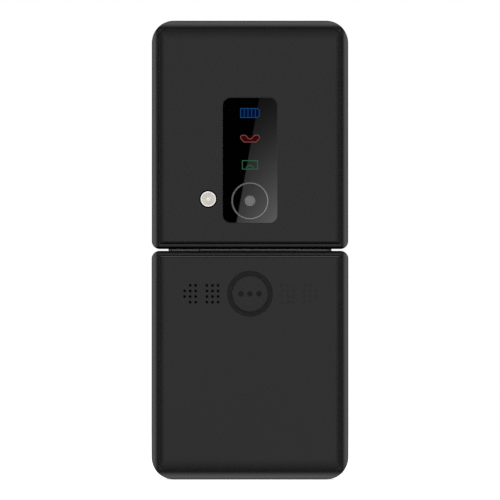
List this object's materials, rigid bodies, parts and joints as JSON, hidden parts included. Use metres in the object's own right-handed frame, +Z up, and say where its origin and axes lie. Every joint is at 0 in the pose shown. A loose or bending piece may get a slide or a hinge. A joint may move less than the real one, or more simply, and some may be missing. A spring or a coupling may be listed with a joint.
{
  "type": "flip phone",
  "caption": "Flip phone with a barrel hinge, a keypad and display inside, and a window panel, camera, torch and round alarm button on its back.",
  "frame": {"origin": "middle of the phone's box at the level of its lower end, on which it stands open", "axes": "+X across the phone, to the right as its back is seen; +Y out of the keypad and display side; +Z up the open phone, from its lower end to the top of the lid"},
  "size_m": [0.058, 0.0136, 0.1354],
  "materials": {
    "black_casing": "fine matte grain",
    "black_cover": "soft-touch matte",
    "battery_wrap": "matte printed wrap",
    "gilt_contact": "gilt",
    "board_laminate": "solder mask",
    "tinned_steel": "tinned",
    "dark_rubber": "matte",
    "black_inner_plastic": "moulded",
    "screw_steel": "blackened",
    "hinge_steel": "bright",
    "flex_film": "film",
    "key_metal_paint": "satin silver paint",
    "key_plastic": "satin",
    "window_gloss": "polished",
    "clear_guide": "frosted",
    "light_chip": "phosphor",
    "bright_ring": "fine turned",
    "camera_glass": "coated",
    "torch_glass": "frosted lens",
    "display_glass": "dark panel",
    "display_gloss": "polished",
    "magnet": "plated"
  },
  "bodies": {
    "base": {"keypad_housing": "black_casing", "base_frame": "black_casing", "rear_cover": "black_cover", "battery": "battery_wrap", "battery_contacts": "gilt_contact", "main_board": "board_laminate", "shield_cans": "tinned_steel", "card_sockets": "tinned_steel", "charging_socket": "tinned_steel", "microphone": "tinned_steel", "key_domes": "tinned_steel", "key_mat": "dark_rubber", "loudspeaker": "black_inner_plastic", "alarm_switch": "black_inner_plastic", "vibration_motor": "tinned_steel", "base_screws": "screw_steel", "hinge_shaft": "hinge_steel", "pivot_pin": "hinge_steel", "hinge_caps": "black_casing", "base_flex": "flex_film"},
    "lid": {"lid_bezel": "black_casing", "lid_frame": "black_casing", "lid_cover": "black_cover", "window_panel": "window_gloss", "light_guide": "clear_guide", "lid_lights": "light_chip", "camera_ring": "bright_ring", "camera_lens": "camera_glass", "camera_module": "black_inner_plastic", "torch_lens": "torch_glass", "display_module": "display_glass", "display_lens": "display_gloss", "earpiece": "tinned_steel", "lid_board": "board_laminate", "lid_flex": "flex_film", "closing_magnet": "magnet", "lid_screws": "screw_steel", "bumpers": "dark_rubber", "hinge_can": "hinge_steel", "hinge_spring": "hinge_steel"},
    "key_1": {"key_1": "key_plastic"},
    "key_2": {"key_2": "key_plastic"},
    "key_3": {"key_3": "key_plastic"},
    "key_4": {"key_4": "key_plastic"},
    "key_5": {"key_5": "key_plastic"},
    "key_6": {"key_6": "key_plastic"},
    "key_7": {"key_7": "key_plastic"},
    "key_8": {"key_8": "key_plastic"},
    "key_9": {"key_9": "key_plastic"},
    "key_star": {"key_star": "key_plastic"},
    "key_0": {"key_0": "key_plastic"},
    "key_hash": {"key_hash": "key_plastic"},
    "soft_key_left": {"soft_key_left": "key_plastic"},
    "soft_key_right": {"soft_key_right": "key_plastic"},
    "call_key": {"call_key": "key_plastic"},
    "end_key": {"end_key": "key_plastic"},
    "select_key": {"select_key": "key_metal_paint"},
    "nav_web": {"nav_web": "dark_rubber"},
    "nav_ring": {"nav_ring": "key_metal_paint"},
    "alarm_button": {"alarm_button": "black_cover"}
  },
  "joints": [
    {"name": "flip_hinge", "type": "hinge", "parent": "base", "child": "lid", "pos_m": [0, 0.0036, 0.06771], "axis": [-1, 0, 0], "range_deg": [0, 180]},
    {"name": "alarm_press", "type": "slide", "parent": "base", "child": "alarm_button", "axis": [0, 1, 0], "range_m": [0, 0.0003], "stiffness_N_per_m": 800},
    {"name": "key_1_press", "type": "slide", "parent": "base", "child": "key_1", "axis": [0, -1, 0], "range_m": [0, 0.00025], "stiffness_N_per_m": 600},
    {"name": "key_2_press", "type": "slide", "parent": "base", "child": "key_2", "axis": [0, -1, 0], "range_m": [0, 0.00025], "stiffness_N_per_m": 600},
    {"name": "key_3_press", "type": "slide", "parent": "base", "child": "key_3", "axis": [0, -1, 0], "range_m": [0, 0.00025], "stiffness_N_per_m": 600},
    {"name": "key_4_press", "type": "slide", "parent": "base", "child": "key_4", "axis": [0, -1, 0], "range_m": [0, 0.00025], "stiffness_N_per_m": 600},
    {"name": "key_5_press", "type": "slide", "parent": "base", "child": "key_5", "axis": [0, -1, 0], "range_m": [0, 0.00025], "stiffness_N_per_m": 600},
    {"name": "key_6_press", "type": "slide", "parent": "base", "child": "key_6", "axis": [0, -1, 0], "range_m": [0, 0.00025], "stiffness_N_per_m": 600},
    {"name": "key_7_press", "type": "slide", "parent": "base", "child": "key_7", "axis": [0, -1, 0], "range_m": [0, 0.00025], "stiffness_N_per_m": 600},
    {"name": "key_8_press", "type": "slide", "parent": "base", "child": "key_8", "axis": [0, -1, 0], "range_m": [0, 0.00025], "stiffness_N_per_m": 600},
    {"name": "key_9_press", "type": "slide", "parent": "base", "child": "key_9", "axis": [0, -1, 0], "range_m": [0, 0.00025], "stiffness_N_per_m": 600},
    {"name": "key_star_press", "type": "slide", "parent": "base", "child": "key_star", "axis": [0, -1, 0], "range_m": [0, 0.00025], "stiffness_N_per_m": 600},
    {"name": "key_0_press", "type": "slide", "parent": "base", "child": "key_0", "axis": [0, -1, 0], "range_m": [0, 0.00025], "stiffness_N_per_m": 600},
    {"name": "key_hash_press", "type": "slide", "parent": "base", "child": "key_hash", "axis": [0, -1, 0], "range_m": [0, 0.00025], "stiffness_N_per_m": 600},
    {"name": "soft_key_left_press", "type": "slide", "parent": "base", "child": "soft_key_left", "axis": [0, -1, 0], "range_m": [0, 0.00025], "stiffness_N_per_m": 600},
    {"name": "soft_key_right_press", "type": "slide", "parent": "base", "child": "soft_key_right", "axis": [0, -1, 0], "range_m": [0, 0.00025], "stiffness_N_per_m": 600},
    {"name": "call_key_press", "type": "slide", "parent": "base", "child": "call_key", "axis": [0, -1, 0], "range_m": [0, 0.00025], "stiffness_N_per_m": 600},
    {"name": "end_key_press", "type": "slide", "parent": "base", "child": "end_key", "axis": [0, -1, 0], "range_m": [0, 0.00025], "stiffness_N_per_m": 600},
    {"name": "select_press", "type": "slide", "parent": "base", "child": "select_key", "axis": [0, -1, 0], "range_m": [0, 0.00025], "stiffness_N_per_m": 600},
    {"name": "nav_tilt_up_down", "type": "hinge", "parent": "base", "child": "nav_web", "pos_m": [0, 0.0027, 0.0496], "axis": [1, 0, 0], "range_deg": [-1.6, 1.6], "stiffness_Nm_per_rad": 0.05},
    {"name": "nav_tilt_sideways", "type": "hinge", "parent": "nav_web", "child": "nav_ring", "pos_m": [0, 0.0027, 0.0496], "axis": [0, 0, 1], "range_deg": [-1.6, 1.6], "stiffness_Nm_per_rad": 0.05}
  ]
}
